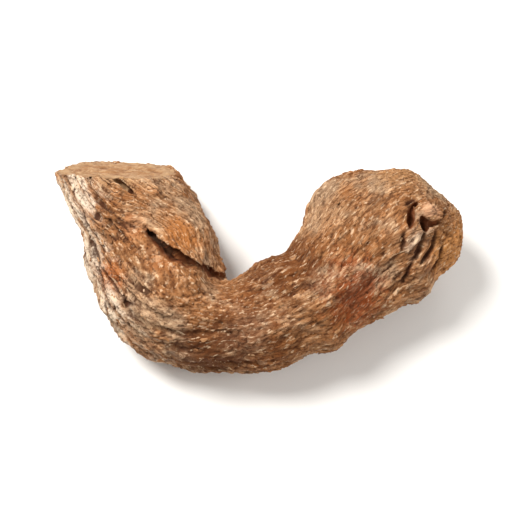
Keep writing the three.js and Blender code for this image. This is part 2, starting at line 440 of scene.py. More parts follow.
def skin_height(x, y, beside=0.0):
    """Height of the skin's upper side above a place on the table, or beside where there is none."""
    hit = skin_tree.ray_cast(Vector((x, y, ABOVE_ALL)), Vector((0, 0, -1)))[0]
    return hit.z if hit else beside


def wavering(length, places, step, size):
    """A random number at each place, that changes over a given step."""
    knots = np.arange(0, length + 2 * step, step)
    return np.interp(places, knots, ragged.normal(0, size, len(knots)))


def crack_blade(name, start, end, width, bow, depth, lean, fullness, wander):
    """A blade with pointed ends, along the skin. It stands as far out of it as it cuts in.

    Its two broad faces are ladders of small faces, because one large face wouldn't follow the skin.
    """
    start = np.array([*start, 0.0])
    line = np.array([*end, 0.0]) - start
    length = np.linalg.norm(line)
    ahead = unit(line)
    left = unit(np.cross(UP, ahead))
    w = np.linspace(0, 1, round(length / BLADE_STEP) + 1)[1:-1]
    lens = (4 * w * (1 - w)) ** fullness
    middle = 4 * bow * w * (1 - w) + wavering(length, w * length, WANDER_STEP, wander) * lens
    edges = []
    for side in (-1, 1):
        tooth = np.clip(1 + wavering(length, w * length, TOOTH_STEP, TOOTH_SIZE), *TOOTH_LIMITS)
        edges.append(middle + side * 0.5 * width * lens * tooth)
    x = np.concatenate([[0], w, [1], w[::-1]]) * length
    y = np.concatenate([[0], edges[0], [0], edges[1][::-1]])
    turn = math.radians(lean)
    heights = [skin_height(*start[:2])]
    for at in start + x[1:, None] * ahead + y[1:, None] * left:
        heights.append(skin_height(at[0], at[1], heights[-1]))
    lift = np.array(heights)[:, None] * UP
    rings = []
    for z in (-depth, depth):
        y_leant = y * math.cos(turn) - z * math.sin(turn)
        z_leant = y * math.sin(turn) + z * math.cos(turn)
        leant = start + x[:, None] * ahead + y_leant[:, None] * left + z_leant[:, None] * UP
        rings.append(leant + lift)
    count = len(x)
    sides = [[i, (i + 1) % count, count + (i + 1) % count, count + i] for i in range(count)]
    across = [[i, i + 1, count - i - 1, (count - i) % count] for i in range(count // 2)]
    across = [list(dict.fromkeys(face)) for face in across]
    below = [face[::-1] for face in across]
    above = [[count + i for i in face] for face in across]
    return new_object(name, np.vstack(rings), sides + below + above)


blades = [crack_blade(f"crack_blade_{i}", *crack) for i, crack in enumerate(CRACKS)]
print("cracks:", len(blades))

# %% Lines for the narrow splits
SPLIT_RISE = 0.8  # mm: how much higher a line is at its ends, so that the split tapers


def split_line(start, end, bow, wander, above):
    """Points along a split on the skin. They rise off it towards both ends."""
    start = np.array([*start, 0.0])
    line = np.array([*end, 0.0]) - start
    length = np.linalg.norm(line)
    ahead = unit(line)
    left = unit(np.cross(UP, ahead))
    w = np.linspace(0, 1, round(length / BLADE_STEP) + 1)
    lens = np.sqrt(4 * w * (1 - w))
    aside = 4 * bow * w * (1 - w) + wavering(length, w * length, WANDER_STEP, wander) * lens
    points = start + w[:, None] * line + aside[:, None] * left
    points[:, 2] = [skin_height(x, y) for x, y in points[:, :2]]
    points[:, 2] += above + SPLIT_RISE * (1 - lens)
    return points


split_points = []
split_edges = []
for split in SPLITS:
    points = split_line(*split)
    first = len(split_points)
    split_points += points.tolist()
    split_edges += [[first + i, first + i + 1] for i in range(len(points) - 1)]
splits = new_object("split_lines", split_points, [], split_edges)
print("splits:", len(SPLITS))

# %% Pebbles for the hollow, and for what stands up from the skin
PEBBLE_ROUGHNESS = 0.14  # share of a radius
PEBBLE_GRIT = 0.2  # mm
ROUGH_FINENESS = 2.5  # how much finer than the skin's lumps
GRIT_FINENESS = 6.0
HOLLOWS = [
    ([24.9, 3.0, 21.4], [2.9, 0.66, 3.0], 85),
    ([25.5, 5.6, 21.2], [0.9, 0.5, 2.0], 10),
    ([26.9, 2.8, 20.9], [1.4, 0.85, 3.2], 110),
    ([28.7, 3.2, 20.6], [2.0, 0.7, 2.8], 14),
]
BUMPS = [
    # x, y and how deep the middle sits, radii, turn
    ((28.2, 4.4, 0.25), [2.2, 1.3, 0.9], -14),  # the chip that stands over the hollow
    ((26.0, 3.2, 0.6), [2.0, 0.4, 0.7], 80),  # a rib of torn wood in the hollow
    ((25.3, -0.7, 0.1), [2.2, 0.6, 0.5], 60),  # torn strips below the hollow
    ((27.1, -0.9, 0.1), [2.8, 0.5, 0.5], 62),
    ((28.8, -0.8, 0.1), [2.4, 0.4, 0.45], 66),
    ((-17.4, 9.8, 0.2), [0.9, 0.7, 0.8], 0),  # a wart on the chopped limb
    ((2.8, -1.0, 0.1), [1.1, 0.7, 0.5], 20),  # a small flake on the saddle
]


def pebble(name, centre, radii, turn):
    """An uneven closed pebble, turned about the vertical."""
    bpy.ops.mesh.primitive_ico_sphere_add(subdivisions=4, radius=1)
    made = bpy.context.object
    made.name = name
    shape = Matrix.Translation(centre) @ Matrix.Rotation(math.radians(turn), 4, "Z")
    made.data.transform(shape @ Matrix.Diagonal([*radii, 1]))
    points = np.array([v.co for v in made.data.vertices])
    normals = np.array([v.normal for v in made.data.vertices])
    rough = 1 + PEBBLE_ROUGHNESS * lump_height(points * ROUGH_FINENESS)
    grit = PEBBLE_GRIT * lump_height(points * GRIT_FINENESS)
    points = np.array(centre) + (points - centre) * rough[:, None] + normals * grit[:, None]
    made.data.vertices.foreach_set("co", points.astype(np.float32).ravel())
    return made


hollows = [pebble(f"hollow_{i}", *values) for i, values in enumerate(HOLLOWS)]
bumps = []
for i, ((x, y, sink), radii, turn) in enumerate(BUMPS):
    bumps.append(pebble(f"bump_{i}", [x, y, skin_height(x, y) - sink], radii, turn))
print("bumps:", len(bumps))

# %% The table that wears the underside flat
TABLE_SIDE = 200.0
TABLE_DEPTH = 20.0

bpy.ops.mesh.primitive_cube_add(size=1)
table_block = bpy.context.object
table_block.data.transform(
    Matrix.Translation((0, 0, -TABLE_DEPTH / 2)) @ Matrix.Diagonal([TABLE_SIDE, TABLE_SIDE, TABLE_DEPTH, 1])
)

# %% Cutting and joining
def baked(made):
    """Puts what an object's modifiers make in place of its mesh, and removes them."""
    graph = bpy.context.evaluated_depsgraph_get()
    evaluated = made.evaluated_get(graph)
    mesh = bpy.data.meshes.new_from_object(evaluated, preserve_all_data_layers=True, depsgraph=graph)
    made.modifiers.clear()
    made.data = mesh
    return made


def add_boolean(made, tool, operation):
    """Adds one boolean with another closed mesh."""
    step = made.modifiers.new(tool.name, "BOOLEAN")
    step.solver = "MANIFOLD"
    step.operation = operation
    step.object = tool


root = skin_object.copy()
root.data = skin_object.data.copy()
root.name = "dried_root_bark"
bpy.context.scene.collection.objects.link(root)
for tool in hollows + blades:
    add_boolean(root, tool, "DIFFERENCE")
for tool in bumps:
    add_boolean(root, tool, "UNION")
add_boolean(root, table_block, "DIFFERENCE")
baked(root)
print("after the cuts:", len(root.data.polygons), "faces")

# %% [markdown]
# ## An even mesh for the bark
#
# The sweep's faces are crowded at the notch and long at the elbow, and the cuts leave slivers. Bark
# detail needs points that are as close everywhere, so the cut body is rebuilt from small cells. A
# cell is about a third of a millimetre, near the width of one bark fibre.

# %% Rebuilding the surface in even cells
CELL = 0.31  # mm

remesh = root.modifiers.new("even_cells", "REMESH")
remesh.mode = "VOXEL"
remesh.voxel_size = CELL
baked(root)
print("even mesh:", len(root.data.polygons), "faces")

# %% [markdown]
# ## Helpers for node trees
#
# Everything from here on is nodes: the relief, the scattered bark and the colours. One small function
# adds a node with its settings and links, in geometry trees and in materials alike. Colours are
# written as the hex codes that a picture editor shows, and one function turns them linear.

# %% One function that adds a node
MATH = "ShaderNodeMath"
VECTOR = "ShaderNodeVectorMath"
RANGE = "ShaderNodeMapRange"
NOISE = "ShaderNodeTexNoise"
CELLS = "ShaderNodeTexVoronoi"
MIX = "ShaderNodeMix"
RAMP = "ShaderNodeValToRGB"
PARTS = "ShaderNodeSeparateXYZ"
SOFT = {"interpolation_type": "SMOOTHSTEP"}
COLOURS = {"data_type": "RGBA"}
VECTORS = {"data_type": "FLOAT_VECTOR"}
TIMES = {"operation": "MULTIPLY"}
LESS = {"operation": "SUBTRACT"}
TIMES_PLUS = {"operation": "MULTIPLY_ADD"}
SCALED = {"operation": "SCALE"}


def linear(code):
    """An sRGB hex colour as the linear colour that nodes work with."""
    parts = [int(code[i : i + 2], 16) / 255 for i in (1, 3, 5)]
    return [p / 12.92 if p <= 0.04045 else ((p + 0.055) / 1.055) ** 2.4 for p in parts] + [1.0]


def add_node(tree, kind, inputs=None, stops=(), **settings):
    """A new node. Inputs are values, hex colours, nodes or outputs, and stops fill a colour ramp."""
    made = tree.nodes.new(kind)
    for name, value in settings.items():
        setattr(made, name, value)
    for socket, value in (inputs or {}).items():
        if isinstance(value, bpy.types.Node):
            value = next(out for out in value.outputs if out.enabled)
        if isinstance(value, bpy.types.NodeSocket):
            tree.links.new(value, made.inputs[socket])
        elif isinstance(value, str) and value.startswith("#"):
            made.inputs[socket].default_value = linear(value)
        else:
            made.inputs[socket].default_value = value
    for i, (place, code) in enumerate(stops):
        ramp = made.color_ramp.elements
        stop = ramp[i] if i < len(ramp) else ramp.new(place)
        stop.position = place
        stop.color = linear(code)
    return made


# %% Geometry trees with named inputs
def new_tree(name, inputs):
    """A geometry tree with a geometry in and out, and named inputs given as name: (kind, value)."""
    tree = bpy.data.node_groups.new(name, "GeometryNodeTree")
    tree.interface.new_socket("Geometry", in_out="INPUT", socket_type="NodeSocketGeometry")
    tree.interface.new_socket("Geometry", in_out="OUTPUT", socket_type="NodeSocketGeometry")
    for label, (kind, value) in inputs.items():
        socket = tree.interface.new_socket(label, in_out="INPUT", socket_type="NodeSocket" + kind)
        if value is not None:
            socket.default_value = value
    start = tree.nodes.new("NodeGroupInput")
    end = tree.nodes.new("NodeGroupOutput")
    return tree, partial(add_node, tree), start.outputs, end.inputs


def run_tree(made, tree, values):
    """Runs a tree on an object, with its named inputs set by their identifiers, and keeps the result."""
    step = made.modifiers.new(tree.name, "NODES")
    step.node_group = tree
    for socket in tree.interface.items_tree:
        if socket.in_out == "INPUT" and socket.name in values:
            step[socket.identifier] = values[socket.name]
    return baked(made)


# %% [markdown]
# ## Reading the grain back
#
# The rebuild loses what the skin knew. A small node tree looks up the nearest place of the uncut
# skin for each point, and stores the grain again, with the depth below the skin and the way out of
# it. Deep points are inside a crack or the hollow, where raw wood shows in place of bark.

# %% The tree that reads the grain
ATTRIBUTE = "GeometryNodeInputNamedAttribute"
STORE = "GeometryNodeStoreNamedAttribute"
NEAREST = "GeometryNodeSampleNearestSurface"
GAP = "GeometryNodeProximity"


def grain_tree():
    """Stores the skin's grain on each point of another mesh, and the point's depth below the skin."""
    tree, add, given, result = new_tree("grain_of_the_skin", {"Skin": ("Object", None)})
    skin_in = add("GeometryNodeObjectInfo", {"Object": given["Skin"]}).outputs["Geometry"]
    geometry = given["Geometry"]
    reads = {"outward": add("GeometryNodeInputNormal")}
    for name in ("grain", "grain_way"):
        reads[name] = add(ATTRIBUTE, {"Name": name}, **VECTORS)
    for name, value in reads.items():
        reads[name] = add(NEAREST, {"Mesh": skin_in, "Value": value}, **VECTORS)
        geometry = add(STORE, {"Geometry": geometry, "Name": name, "Value": reads[name]}, **VECTORS)
    place = add("GeometryNodeInputPosition")
    to_skin = {"Target": skin_in, "Source Position": place}
    gap = add(GAP, to_skin, target_element="FACES")
    inward = add(VECTOR, {0: gap.outputs["Position"], 1: place}, **LESS)
    depth = add(VECTOR, {0: inward, 1: reads["outward"]}, operation="DOT_PRODUCT")
    stored = add(STORE, {"Geometry": geometry, "Name": "depth", "Value": depth})
    tree.links.new(stored.outputs[0], result["Geometry"])
    return tree


run_tree(root, grain_tree(), {"Skin": skin_object})


def read_values(mesh, name):
    """A stored number of each point, as an array."""
    values = np.zeros(len(mesh.vertices), np.float32)
    mesh.attributes[name].data.foreach_get("value", values)
    return values


print("deepest crack:", round(float(read_values(root.data, "depth").max()), 1), "mm")

# %% [markdown]
# ## The dried bark
#
# The bark is dry cork and fibre, with hardly any gloss. Its colour changes in four ways: broad warm
# and grey areas, rust stains where sap dried with patches of painted shade and painted highlight
# among them, a tone for each small scale, and pale flecks along the fibres that are partly painted
# highlights. The cracks, the sunken bark and the raw wood deep in them are darkened as painted
# shade. Each kind of mark is a row of a table: what it follows, where it shows, and its colour.
# An image texture would be quicker, but it would have to be unwrapped round the bend. Here every
# pattern reads the stored grain, so it runs along the root by itself. Places in the material are in
# millimetres too.

# %% Sizes and colours of the bark, in mm
CENTRE = Vector((-0.393, 2.089, 0.0))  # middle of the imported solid's box, in this drawing
BARK_DEPTH = (0.25, 0.9)  # below the skin, bark gives way to raw wood between these depths
ACROSS_ROOT = (0, 1 / GRAIN_RADIUS, 1 / GRAIN_RADIUS)  # turns the grain's circle to a share of it
CRACK_WIDTH = 0.12  # share of a scale
BARK_STREAK = (2.7, 0.5, 0.5)
BARK_FLECK = (1.1, 0.5, 0.5)
BARK_LINE = (4.8, 0.7, 0.7)
BARK_SPECK = 0.45
BARK_AREA = 7.0
BARK_FUZZ = (0.9, 0.24, 0.24)
BARK_BUMP = 0.11
BARK_SHINE = {"Roughness": 0.86, "IOR": 1.45, "Specular IOR Level": 0.2}
STREAK_STOPS = [(0.27, "#5c381d"), (0.43, "#8a5b37"), (0.57, "#ab7d55"), (0.72, "#cfa880")]
TONE_SPAN = (0.74, 1.2)  # how much the tone of a scale darkens and lightens the colour
# pale cork flecks, partly painted highlights
PALE_FLECK_AND_HIGHLIGHT = "#e0bf9a"
DARK_FLECK = "#4c270f"
# painted shade: this dark colour is laid in the cracks, the fissures and wherever the bark is sunk
CRACK_SHADE_COLOUR = "#3a1b0b"
# raw wood in the cracks and the hollow, darkened with depth as painted shade
RAW_WOOD_AND_DEPTH_SHADE_STOPS = [(0.0, "#8a5530"), (0.35, "#6f381a"), (0.7, "#43200e"), (1.0, "#2c1207")]
DEPTH_SHADE_PACE = 0.3  # share of these stops for each mm of depth
DEEP_SHARE = 0.85
AREAS = [
    # what it follows, where it starts and is full, strength, colour
    ("area", 0.44, 0.62, 0.55, "#8c572c"),
    ("area", 0.5, 0.36, 0.6, "#a68b6e"),
]
MARKS = [
    ("fleck", 0.46, 0.34, 0.6, DARK_FLECK),
    # pale flecks and the palest scales: partly pale cork, partly painted highlights
    ("fleck", 0.57, 0.7, 0.62, PALE_FLECK_AND_HIGHLIGHT),
    ("tone", 0.88, 1.0, 0.2, PALE_FLECK_AND_HIGHLIGHT),
    ("line", 0.022, 0.005, 0.6, DARK_FLECK),
    ("speck", 0.36, 0.28, 0.7, DARK_FLECK),
    # painted shade in sunken bark, in the cracks between scales and in the fissures
    ("relief", -0.1, -0.55, 0.7, CRACK_SHADE_COLOUR),
    ("crack", 0.4, 1.0, 0.3, CRACK_SHADE_COLOUR),
    ("fissure", 0.3, 1.0, 0.75, CRACK_SHADE_COLOUR),
]
CREST = (-0.2, 0.12, 0.1)  # where a raised streak starts and is full, and the share off it
STAIN_WANDER = 1.4  # how far a stain's edge wanders in all, as a share of its radius
STAIN_CORE = 0.35  # where a stain starts to fade, as a share of its radius
STAINS = [
    # name, centre, radius, colour, strength, and whether it keeps to the raised streaks
    ("orange lobe", (-12.9, 2.0, 16.0), 4.4, "#ad6a30", 0.65, False),
    ("rust on the flank", (-24.3, -5.2, 15.0), 3.8, "#a35826", 0.75, False),
    ("rust above the crevice", (-21.0, 3.4, 17.0), 3.0, "#ac6a3c", 0.5, False),
    ("rust below the crevice", (-15.8, -2.6, 16.0), 4.6, "#9c5c30", 0.45, False),
    ("rust on the second limb", (14.3, -7.0, 14.0), 8.5, "#86380b", 0.82, False),
    ("rust on the elbow", (-1.0, -13.0, 12.0), 10.0, "#6a3510", 0.7, False),
    # partly a brown stain, partly painted shade on the underside of the bend
    ("brown stain and painted shade under the bend", (-9.0, -16.0, 11.0), 9.0, "#50280c", 0.8, False),
    ("dark saddle", (5.0, -4.0, 14.0), 10.0, "#63330f", 0.8, False),
    ("orange rim of the knob", (32.6, 1.4, 12.0), 7.5, "#bf8247", 0.6, False),
    ("ochre right of the torn strips", (31.0, -0.8, 16.5), 4.0, "#bb8048", 0.5, False),
    # painted light: one side of the knob is made lighter
    ("painted light on one side of the knob", (10.6, 5.6, 16.0), 6.0, "#bd926a", 0.4, False),
    ("brown top of the knob", (24.0, 11.5, 17.0), 6.5, "#b88a5c", 0.5, False),
    ("chip over the hollow", (28.2, 4.5, 21.4), 2.4, "#cf9f7b", 0.6, False),
    ("rib in the hollow", (26.0, 3.4, 20.9), 1.3, "#b08f70", 0.7, False),
    ("torn strips below the hollow", (26.4, -0.8, 19.4), 4.0, "#c4ab90", 0.7, True),
    # partly pale weathered bark, partly a painted highlight on the raised streaks of the flank and the
    # elbow
    ("pale flank with painted highlight, upper", (-31.0, 9.0, 13.0), 8.5, "#dcc7ae", 0.9, True),
    ("pale flank with painted highlight, middle", (-29.0, 0.0, 13.0), 7.0, "#dcc6ac", 0.85, True),
    ("pale flank with painted highlight, lower", (-25.0, -10.0, 12.0), 7.0, "#d8c2a8", 0.9, True),
    ("pale elbow with painted highlight", (-19.0, -16.0, 9.0), 7.5, "#d4bea4", 0.8, True),
    ("pale band by the chop", (-24.0, 15.0, 16.0), 6.5, "#cda173", 0.65, False),
]


def new_material(name, shine):
    """A material, its adding function, and its one shader, which is joined to the output."""
    made = bpy.data.materials.new(name)
    made.use_nodes = True
    made.node_tree.nodes.clear()
    add = partial(add_node, made.node_tree)
    shader = add("ShaderNodeBsdfPrincipled", shine)
    add("ShaderNodeOutputMaterial", {"Surface": shader})
    return made, add, shader


def finished(made, shader, colour, rough, height, strength):
    """The material, with a colour and with a bump of a height in mm joined to its shader."""
    bump = {"Height": rough, "Distance": height * MM, "Strength": strength}
    bump = add_node(made.node_tree, "ShaderNodeBump", bump)
    made.node_tree.links.new(colour, shader.inputs["Base Color"])
    made.node_tree.links.new(bump.outputs[0], shader.inputs["Normal"])
    return made


def grain_noise(add, size, detail):
    """Noise that runs along the stored grain, with a piece's size given in mm."""
    grain_at = add("ShaderNodeAttribute", attribute_name="grain").outputs["Vector"]
    place = add(VECTOR, {0: grain_at, 1: [1 / x for x in size]}, **TIMES)
    noise = {"Vector": place, "Scale": 1.0, "Detail": detail, "Roughness": 0.6}
    return add(NOISE, noise).outputs[0]


def painted(add, colour, sources, layers):
    """Lays each layer's colour over the last, where its source goes from its start to full."""
    for source, start, full, strength, tint in layers:
        span = {0: sources[source], 1: start, 2: full, 3: 0.0, 4: strength}
        share = add(RANGE, span, **SOFT)
        colour = add(MIX, {0: share, 6: colour, 7: tint}, **COLOURS).outputs[2]
    return colour


# %% The bark material
def bark_material():
    """Dry fibrous bark, weathered and stained, with painted shade and painted highlights: flecks catch the
    eye, and nothing shines.
    """
    made, add, shader = new_material("dried_fibrous_bark", BARK_SHINE)
    coordinates = add("ShaderNodeTexCoord").outputs["Object"]
    in_mm = add(VECTOR, {0: coordinates, "Scale": 1 / MM}, **SCALED)
    place = add(VECTOR, {0: in_mm, 1: CENTRE}, operation="ADD")
    sources = {}
    for name in ("tone", "crack", "fissure", "depth", "relief", "ridge"):
        sources[name] = add("ShaderNodeAttribute", attribute_name=name).outputs["Fac"]
    for name, size, detail in (("area", BARK_AREA, 3.0), ("speck", BARK_SPECK, 1.0)):
        noise = {"Vector": place, "Scale": 1 / size, "Detail": detail}
        sources[name] = add(NOISE, noise).outputs[0]
    sources["fleck"] = grain_noise(add, BARK_FLECK, 2.0)
    line = add(MATH, {0: grain_noise(add, BARK_LINE, 2.0), 1: 0.5}, **LESS)
    sources["line"] = add(MATH, {0: line}, operation="ABSOLUTE").outputs[0]

    streak = grain_noise(add, BARK_STREAK, 5.0)
    colour = add(RAMP, {"Fac": streak}, stops=STREAK_STOPS).outputs[0]
    colour = painted(add, colour, sources, AREAS)
    darkest, lightest = TONE_SPAN
    uneven = add(RANGE, {0: sources["tone"], 1: 0.0, 2: 1.0, 3: darkest, 4: lightest})
    colour = add(VECTOR, {0: colour, "Scale": uneven}, **SCALED).outputs[0]

    ragged_edge = add(NOISE, {"Vector": place, "Scale": 0.7, "Detail": 4.0, "Roughness": 0.7})
    start, full, off_crest = CREST
    crest = add(RANGE, {0: sources["ridge"], 1: start, 2: full, 3: off_crest, 4: 1.0}, **SOFT)
    for name, centre, radius, stain_colour, strength, on_crests in STAINS:
        reach = add(VECTOR, {0: place, 1: centre}, operation="DISTANCE", label=name)
        wander = STAIN_WANDER * radius
        wobble = add(MATH, {0: ragged_edge.outputs[0], 1: wander, 2: -wander / 2}, **TIMES_PLUS)
        edge = add(MATH, {0: reach, 1: wobble}, operation="ADD")
        span = {0: edge, 1: STAIN_CORE * radius, 2: radius, 3: strength, 4: 0.0}
        fade = add(RANGE, span, **SOFT)
        # on the flank and the elbow this keeps pale bark and painted highlight to the raised streaks
        if on_crests:
            fade = add(MATH, {0: fade, 1: crest}, **TIMES)
        colour = add(MIX, {0: fade, 6: colour, 7: stain_colour}, **COLOURS).outputs[2]
    colour = painted(add, colour, sources, MARKS)

    # painted shade: the raw wood darkens the deeper it lies in a crack or the hollow
    inward = add(MATH, {0: sources["depth"], 1: DEPTH_SHADE_PACE}, **TIMES)
    raw_wood_and_shade = add(RAMP, {"Fac": inward}, stops=RAW_WOOD_AND_DEPTH_SHADE_STOPS)
    bark_end, wood_start = BARK_DEPTH
    span = {0: sources["depth"], 1: bark_end, 2: wood_start, 3: 0.0, 4: DEEP_SHARE}
    deep = add(RANGE, span)
    colour = add(MIX, {0: deep, 6: colour, 7: raw_wood_and_shade}, **COLOURS).outputs[2]
    return finished(made, shader, colour, grain_noise(add, BARK_FUZZ, 4.0), BARK_BUMP, 1.0)


# %% [markdown]
# ## The chopped end
#
# The limb was chopped across while fresh, and the cut has browned since. It shows mottled wood, a
# faint dotted ring where the cambium was, inner bark a little paler, a dark rim and a small pith. The
# stored grain gives each point's share of the way from pith to bark, so the rings are sums on it.

# %% The cut wood material
CHOP_RING = (0.93, 0.985)  # share of the way out on the chopped face where bark begins
CAMBIUM_AT = 0.74
CAMBIUM_WANDER = 0.06
CAMBIUM_HALF_WIDTH = (0.008, 0.026)  # where the ring starts to fade, and where it is gone
CAMBIUM_COLOUR = "#7d4f2a"
CAMBIUM_DOTS = (0.44, 0.54, 0.28)  # where a dot starts and is full, and its strength
INNER_BARK = (-0.01, 0.02, 0.3)  # from the cambium: start and full, and its strength
INNER_BARK_COLOUR = "#ac8f6c"
# dark rim of the cut, and painted shade in the sunken hack marks of the chopped face
RIM_AND_HACK_SHADE_COLOUR = "#6b4326"
WOOD_STOPS = [(0.32, "#73492a"), (0.48, "#9d7650"), (0.68, "#bb9872")]
WOOD_BLOTS = [("blot", 0.48, 0.62, 0.7, "#8d5f36")]
WOOD_RINGS = [
    # what it follows, where it starts and is full, strength, colour
    ("ring", 0.07, 0.02, 0.6, CAMBIUM_COLOUR),
    ("ring", 0.9, 1.0, 0.45, RIM_AND_HACK_SHADE_COLOUR),
    # painted shade: the sunken hack marks, rays and ring groove are darkened
    ("relief", -0.06, -0.3, 0.7, RIM_AND_HACK_SHADE_COLOUR),
]
WOOD_BUMP = 0.07
WOOD_SHINE = {"Roughness": 0.8, "IOR": 1.5, "Specular IOR Level": 0.3}


def wood_material():
    """Chopped dry wood, rough from the blade: matt and mottled, with a dark rim and a faint ring."""
    made, add, shader = new_material("chopped_root_wood", WOOD_SHINE)
    grain_at = add("ShaderNodeAttribute", attribute_name="grain").outputs["Vector"]
    relief = add("ShaderNodeAttribute", attribute_name="relief").outputs["Fac"]
    coordinates = add("ShaderNodeTexCoord").outputs["Object"]
    on_circle = add(VECTOR, {0: grain_at, 1: ACROSS_ROOT}, **TIMES)
    toward = add(VECTOR, {0: on_circle}, operation="NORMALIZE")
    ring = add(VECTOR, {0: on_circle}, operation="LENGTH")
    blot = add(NOISE, {"Vector": coordinates, "Scale": 0.35 / MM, "Detail": 4.0}).outputs[0]
    sources = {"ring": ring, "blot": blot, "relief": relief}

    mottle = add(NOISE, {"Vector": grain_at, "Scale": 0.8, "Detail": 5.0, "Roughness": 0.7})
    colour = add(RAMP, {"Fac": mottle.outputs[0]}, stops=WOOD_STOPS).outputs[0]
    colour = painted(add, colour, sources, WOOD_BLOTS)
    start, full, strength = INNER_BARK
    span = {0: ring, 1: CAMBIUM_AT + start, 2: CAMBIUM_AT + full, 3: 0.0, 4: strength}
    outer = add(RANGE, span)
    colour = add(MIX, {0: outer, 6: colour, 7: INNER_BARK_COLOUR}, **COLOURS).outputs[2]

    wobble = add(MATH, {0: blot, 1: CAMBIUM_WANDER, 2: -CAMBIUM_WANDER / 2}, **TIMES_PLUS)
    off_ring = add(MATH, {0: add(MATH, {0: ring, 1: wobble}), 1: CAMBIUM_AT}, **LESS)
    off_ring = add(MATH, {0: off_ring}, operation="ABSOLUTE")
    solid, gone = CAMBIUM_HALF_WIDTH
    on_ring = add(RANGE, {0: off_ring, 1: solid, 2: gone, 3: 1.0, 4: 0.0}, **SOFT)
    dots = add(NOISE, {"Vector": toward, "Scale": 7.0, "Detail": 2.0})
    start, full, strength = CAMBIUM_DOTS
    dots = add(RANGE, {0: dots.outputs[0], 1: start, 2: full, 3: 0.0, 4: strength}, **SOFT)
    dotted = add(MATH, {0: on_ring, 1: dots}, **TIMES)
    colour = add(MIX, {0: dotted, 6: colour, 7: CAMBIUM_COLOUR}, **COLOURS).outputs[2]
    colour = painted(add, colour, sources, WOOD_RINGS)
    chopped = add(NOISE, {"Vector": coordinates, "Scale": 2.2 / MM, "Detail": 4.0})
    return finished(made, shader, colour, chopped.outputs[0], WOOD_BUMP, 0.8)


# %% [markdown]
# ## Loose bark and torn fibre
#
# Flakes of cork lift off and catch the light, and fibres stick out where the root tore. They are the
# same dead tissue as the bark but drier and paler. Each piece carries one stored tone, so no two
# neighbours have the same colour.

# %% The materials of what is loose
LOOSE_STOPS = [(0.0, "#6b4226"), (0.45, "#93663f"), (0.8, "#b58a63"), (1.0, "#d9b895")]
FIBRE_STOPS = [(0.0, "#7f5c3e"), (0.5, "#a98a6a"), (1.0, "#cfb698")]
LOOSE_BUMP = 0.06
LOOSE_SHINE = {"Roughness": 0.82, "IOR": 1.45, "Specular IOR Level": 0.3}


def loose_material(name, stops, spacing):
    """Dry loose tissue, matt and a little uneven: each piece has its own tone."""
    made, add, shader = new_material(name, LOOSE_SHINE)
    tone = add("ShaderNodeAttribute", attribute_name="tone").outputs["Fac"]
    coordinates = add("ShaderNodeTexCoord").outputs["Object"]
    noise = {"Vector": coordinates, "Scale": 1 / (spacing * MM), "Detail": 3.0}
    mottle = add(NOISE, noise).outputs[0]
    uneven = add(MATH, {0: mottle, 1: 0.5, 2: -0.25}, **TIMES_PLUS)
    colour = add(RAMP, {"Fac": add(MATH, {0: tone, 1: uneven}, operation="ADD")}, stops=stops)
    return finished(made, shader, colour.outputs[0], mottle, LOOSE_BUMP, 0.8)


bark = bark_material()
wood = wood_material()
loose_bark_finish = loose_material("loose_cork_flake", LOOSE_STOPS, 0.5)
fibre_finish = loose_material("torn_root_fibre", FIBRE_STOPS, 0.35)
print("materials:", [made.name for made in (bark, wood, loose_bark_finish, fibre_finish)])

# %% [markdown]
# ## Bark relief
#
# Dried bark has four layers of detail: long fibres, fissures between them, small scales that lie
# like shingles with cracks between them, and grit. A sculpting brush would do it on one root, but a
# node tree does it by rule along the grain, wherever the root bends. The scales are the cells of a
# Voronoi pattern that is drawn out along the grain, and each is tilted, so that one end stands up.
# The chopped face and the torn wood have a roughness of their own. Bark is pushed the way that the
# skin faces, not the way that a crack's wall faces, or narrow cracks would close. The tree stores
# the relief and a tone for each scale, and the colours read both.

# %% The tree of the bark's relief
COMPARE = "FunctionNodeCompare"
FINISH = "GeometryNodeSetMaterial"
LOWEST = (-1e4, -1e4, 0)  # no point may go below the table, and x and y are free
WAVES = {
    # what it follows, the size of one wave in mm, detail, roughness
    "fibre": ("grain", (10.0, 1.5, 1.5), 3.0, 0.5),
    "fissure": ("grain", (7.0, 1.05, 1.05), 2.0, 0.5),
    "grit": ("grain", (0.8, 0.6, 0.6), 1.0, 0.5),
    "hack": ("place", (2.4, 2.4, 2.4), 4.0, 0.6),
    "tear": ("place", (0.8, 1.8, 0.8), 3.0, 0.5),
}
SCALE_SIZE = (1.7, 0.8, 0.8)
SCALE_WARP = 0.8
FISSURE_WIDTH = 0.13
SPLIT_REACH = (0.15, 0.6)  # mm from a split's line, where its side begins and ends
PEELING_SIDE = (-17.0, -27.0)  # x in mm: towards this side the bark has peeled to long ridges
PEELING_SHARE = (0.65, 1.5)  # strength of fibres and fissures before and beyond there
FRAY_SIZE = 1.8
FRAY_REACH = 0.3  # share of the way out by which the edge of the chopped face wanders
BARK_PER_MM = 0.9  # share of the way out that a point counts as, for each mm from the chopped face
RAY_FINENESS = 2.6
RAY_WIDTH = 0.012
RAY_DEPTH = 0.12
RAY_START = (0.06, 0.3)  # share of the way out where the rays start and are full
CAMBIUM_DEPTH = 0.05
CAMBIUM_WIDTH = 0.03
WORN_FINE = (0.05, 1.2)  # mm above the table, where the fine relief starts and is full
RELIEF_INPUTS = {
    "Fibre Height": ("Float", 0.45),
    "Fissure Depth": ("Float", 0.3),
    "Scale Tilt": ("Float", 0.26),
    "Scale Step": ("Float", 0.18),
    "Crack Depth": ("Float", 0.12),
    "Grit Height": ("Float", 0.12),
    "Hack Depth": ("Float", 0.8),
    "Tear Depth": ("Float", 0.35),
    "Split Depth": ("Float", 0.8),
    "Splits": ("Object", None),
    "Bark": ("Material", bark),
    "Wood": ("Material", wood),
}


